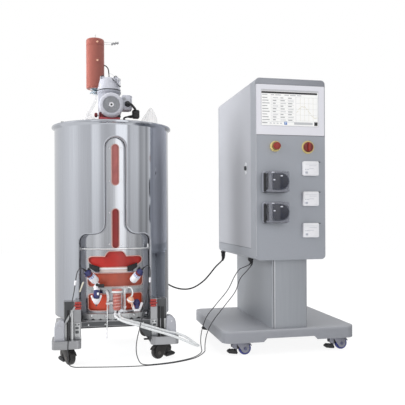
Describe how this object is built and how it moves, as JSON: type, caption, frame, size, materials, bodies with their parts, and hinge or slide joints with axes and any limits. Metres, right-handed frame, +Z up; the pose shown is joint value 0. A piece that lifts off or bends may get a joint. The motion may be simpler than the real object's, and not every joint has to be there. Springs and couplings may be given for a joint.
{
  "type": "single-use bioreactor with control tower",
  "caption": "Wheeled jacketed tank with a mixed single-use bag, sight windows, drive and vent filter, joined by cables to a wheeled control tower with screen, pumps and sensor modules.",
  "frame": {"origin": "on the floor, under the middle of the pair's footprint", "axes": "+Z up, the tank's windows and the tower's screen face -Y, the tower stands on the +X side"},
  "size_m": [1.7654, 0.937, 1.947],
  "materials": {
    "jacket_steel": "polished sheet",
    "frame_steel": "brushed sheet",
    "bridge_black": "satin",
    "bright_rod": "polished",
    "motor_casting": "satin over a cast surface",
    "black_plastic": "moulded",
    "knob_red": "moulded",
    "media_film": "clear film over red medium",
    "impeller_white": "moulded",
    "heater_red": "matt sleeve",
    "clear_plastic": "translucent",
    "drain_film": "clear tube over red medium",
    "hose_clear": "translucent tube",
    "white_plastic": "moulded",
    "probe_blue": "moulded",
    "cabinet_grey": "satin metallic",
    "bezel_silver": "satin metallic",
    "screen_glass": "lit panel",
    "platform_steel": "polished sheet",
    "wheel_black": "moulded",
    "caster_dark": "pressed steel",
    "wheel_blue": "moulded",
    "caster_bright": "pressed steel",
    "pump_smoke": "smoked translucent",
    "rotor_grey": "moulded",
    "cable_black": "matt sheath"
  },
  "bodies": {
    "bioreactor": {"base_frame": "frame_steel", "base_platform": "platform_steel", "cabinet_shell": "cabinet_grey", "display_bezel": "bezel_silver", "display_screen": "screen_glass", "drain_tube": "drain_film", "drive_bridge": "bridge_black", "filter_bracket": "bright_rod", "filter_capsule": "clear_plastic", "filter_jacket": "heater_red", "gearbox": "motor_casting", "media_bag": "media_film", "motor_housing": "motor_casting", "motor_plug": "black_plastic", "port_strap": "white_plastic", "power_cable": "cable_black", "probe_cable_left": "cable_black", "probe_cable_right": "cable_black", "probe_lower_left": "white_plastic", "probe_lower_right": "probe_blue", "probe_upper_left": "white_plastic", "probe_upper_right": "white_plastic", "pump_body_lower": "black_plastic", "pump_body_upper": "black_plastic", "sample_tube": "hose_clear", "sensor_module_1": "white_plastic", "sensor_module_2": "white_plastic", "sensor_module_3": "white_plastic", "tank_jacket": "jacket_steel", "tank_liner": "jacket_steel", "terminal_box": "motor_casting", "transfer_hose": "hose_clear"},
    "stand_caster_front_left_swivel": {"stand_caster_front_left_fork": "caster_dark"},
    "stand_caster_front_left_roller": {"stand_caster_front_left_wheel": "wheel_black"},
    "stand_caster_front_right_swivel": {"stand_caster_front_right_fork": "caster_dark"},
    "stand_caster_front_right_roller": {"stand_caster_front_right_wheel": "wheel_black"},
    "stand_caster_rear_left_swivel": {"stand_caster_rear_left_fork": "caster_dark"},
    "stand_caster_rear_left_roller": {"stand_caster_rear_left_wheel": "wheel_black"},
    "stand_caster_rear_right_swivel": {"stand_caster_rear_right_fork": "caster_dark"},
    "stand_caster_rear_right_roller": {"stand_caster_rear_right_wheel": "wheel_black"},
    "tower_caster_front_left_swivel": {"tower_caster_front_left_fork": "caster_bright"},
    "tower_caster_front_left_roller": {"tower_caster_front_left_wheel": "wheel_blue"},
    "tower_caster_front_right_swivel": {"tower_caster_front_right_fork": "caster_bright"},
    "tower_caster_front_right_roller": {"tower_caster_front_right_wheel": "wheel_blue"},
    "tower_caster_rear_left_swivel": {"tower_caster_rear_left_fork": "caster_bright"},
    "tower_caster_rear_left_roller": {"tower_caster_rear_left_wheel": "wheel_blue"},
    "tower_caster_rear_right_swivel": {"tower_caster_rear_right_fork": "caster_bright"},
    "tower_caster_rear_right_roller": {"tower_caster_rear_right_wheel": "wheel_blue"},
    "impeller_shaft": {"agitator": "impeller_white"},
    "motor_clamp_knob": {"mount_knob": "knob_red"},
    "leg_knob_left": {"hand_knob_left": "knob_red"},
    "leg_knob_right": {"hand_knob_right": "knob_red"},
    "emergency_stop": {"stop_button": "knob_red"},
    "main_switch": {"switch_knob": "knob_red"},
    "pump_rotor_upper_body": {"pump_rotor_upper": "rotor_grey"},
    "pump_door_upper": {"pump_cover_upper": "pump_smoke"},
    "pump_rotor_lower_body": {"pump_rotor_lower": "rotor_grey"},
    "pump_door_lower": {"pump_cover_lower": "pump_smoke"},
    "cabinet_door": {"side_door": "cabinet_grey"},
    "cabinet_lock": {"door_lock": "bright_rod"}
  },
  "joints": [
    {"name": "stand_caster_front_left_swivel_turn", "type": "hinge", "parent": "bioreactor", "child": "stand_caster_front_left_swivel", "pos_m": [-0.79475, -0.3075, 0.134], "axis": [0, 0, 1], "continuous": true},
    {"name": "stand_caster_front_left_roll", "type": "hinge", "parent": "stand_caster_front_left_swivel", "child": "stand_caster_front_left_roller", "pos_m": [-0.77675, -0.33868, 0.0375], "axis": [0.866, 0.5, 0], "continuous": true},
    {"name": "stand_caster_front_right_swivel_turn", "type": "hinge", "parent": "bioreactor", "child": "stand_caster_front_right_swivel", "pos_m": [-0.25875, -0.3075, 0.134], "axis": [0, 0, 1], "continuous": true},
    {"name": "stand_caster_front_right_roll", "type": "hinge", "parent": "stand_caster_front_right_swivel", "child": "stand_caster_front_right_roller", "pos_m": [-0.29258, -0.31981, 0.0375], "axis": [0.342, -0.9397, 0], "continuous": true},
    {"name": "stand_caster_rear_left_swivel_turn", "type": "hinge", "parent": "bioreactor", "child": "stand_caster_rear_left_swivel", "pos_m": [-0.79475, 0.2725, 0.134], "axis": [0, 0, 1], "continuous": true},
    {"name": "stand_caster_rear_left_roll", "type": "hinge", "parent": "stand_caster_rear_left_swivel", "child": "stand_caster_rear_left_roller", "pos_m": [-0.76092, 0.28481, 0.0375], "axis": [-0.342, 0.9397, 0], "continuous": true},
    {"name": "stand_caster_rear_right_swivel_turn", "type": "hinge", "parent": "bioreactor", "child": "stand_caster_rear_right_swivel", "pos_m": [-0.25875, 0.2725, 0.134], "axis": [0, 0, 1], "continuous": true},
    {"name": "stand_caster_rear_right_roll", "type": "hinge", "parent": "stand_caster_rear_right_swivel", "child": "stand_caster_rear_right_roller", "pos_m": [-0.29258, 0.28481, 0.0375], "axis": [-0.342, -0.9397, 0], "continuous": true},
    {"name": "tower_caster_front_left_swivel_turn", "type": "hinge", "parent": "bioreactor", "child": "tower_caster_front_left_swivel", "pos_m": [0.17575, -0.3405, 0.146], "axis": [0, 0, 1], "continuous": true},
    {"name": "tower_caster_front_left_roll", "type": "hinge", "parent": "tower_caster_front_left_swivel", "child": "tower_caster_front_left_roller", "pos_m": [0.21175, -0.3405, 0.0375], "axis": [0, 1, 0], "continuous": true},
    {"name": "tower_caster_front_right_swivel_turn", "type": "hinge", "parent": "bioreactor", "child": "tower_caster_front_right_swivel", "pos_m": [0.77875, -0.3405, 0.146], "axis": [0, 0, 1], "continuous": true},
    {"name": "tower_caster_front_right_roll", "type": "hinge", "parent": "tower_caster_front_right_swivel", "child": "tower_caster_front_right_roller", "pos_m": [0.81475, -0.3405, 0.0375], "axis": [0, 1, 0], "continuous": true},
    {"name": "tower_caster_rear_left_swivel_turn", "type": "hinge", "parent": "bioreactor", "child": "tower_caster_rear_left_swivel", "pos_m": [0.17575, 0.3475, 0.146], "axis": [0, 0, 1], "continuous": true},
    {"name": "tower_caster_rear_left_roll", "type": "hinge", "parent": "tower_caster_rear_left_swivel", "child": "tower_caster_rear_left_roller", "pos_m": [0.21175, 0.3475, 0.0375], "axis": [0, 1, 0], "continuous": true},
    {"name": "tower_caster_rear_right_swivel_turn", "type": "hinge", "parent": "bioreactor", "child": "tower_caster_rear_right_swivel", "pos_m": [0.77875, 0.3475, 0.146], "axis": [0, 0, 1], "continuous": true},
    {"name": "tower_caster_rear_right_roll", "type": "hinge", "parent": "tower_caster_rear_right_swivel", "child": "tower_caster_rear_right_roller", "pos_m": [0.81475, 0.3475, 0.0375], "axis": [0, 1, 0], "continuous": true},
    {"name": "impeller_spin", "type": "hinge", "parent": "bioreactor", "child": "impeller_shaft", "pos_m": [-0.54175, 0.0025, 0.9], "axis": [0, 0, 1], "continuous": true},
    {"name": "motor_clamp_turn", "type": "hinge", "parent": "bioreactor", "child": "motor_clamp_knob", "pos_m": [-0.61805, -0.1855, 1.392], "axis": [1, 0, 0], "continuous": true},
    {"name": "leg_knob_left_turn", "type": "hinge", "parent": "bioreactor", "child": "leg_knob_left", "pos_m": [-0.73275, -0.3428, 0.323], "axis": [0, 1, 0], "continuous": true},
    {"name": "leg_knob_right_turn", "type": "hinge", "parent": "bioreactor", "child": "leg_knob_right", "pos_m": [-0.32075, -0.3428, 0.323], "axis": [0, 1, 0], "continuous": true},
    {"name": "emergency_stop_press", "type": "slide", "parent": "bioreactor", "child": "emergency_stop", "axis": [0, 1, 0], "range_m": [0, 0.005]},
    {"name": "main_switch_turn", "type": "hinge", "parent": "bioreactor", "child": "main_switch", "pos_m": [0.58225, -0.4148, 1.205], "axis": [0, 1, 0], "range_deg": [0, 90]},
    {"name": "pump_rotor_upper_spin", "type": "hinge", "parent": "bioreactor", "child": "pump_rotor_upper_body", "pos_m": [0.38625, -0.4445, 1], "axis": [0, 1, 0], "continuous": true},
    {"name": "pump_door_upper_swing", "type": "hinge", "parent": "bioreactor", "child": "pump_door_upper", "pos_m": [0.31185, -0.4685, 1], "axis": [0, 0, -1], "range_deg": [0, 115]},
    {"name": "pump_rotor_lower_spin", "type": "hinge", "parent": "bioreactor", "child": "pump_rotor_lower_body", "pos_m": [0.38625, -0.4445, 0.825], "axis": [0, 1, 0], "continuous": true},
    {"name": "pump_door_lower_swing", "type": "hinge", "parent": "bioreactor", "child": "pump_door_lower", "pos_m": [0.31185, -0.4685, 0.825], "axis": [0, 0, -1], "range_deg": [0, 115]},
    {"name": "cabinet_door_swing", "type": "hinge", "parent": "bioreactor", "child": "cabinet_door", "pos_m": [0.26425, 0.4535, 1.1], "axis": [0, 0, -1], "range_deg": [0, 34]},
    {"name": "cabinet_lock_turn", "type": "hinge", "parent": "cabinet_door", "child": "cabinet_lock", "pos_m": [0.26425, -0.2165, 1.093], "axis": [1, 0, 0], "range_deg": [0, 90]}
  ]
}
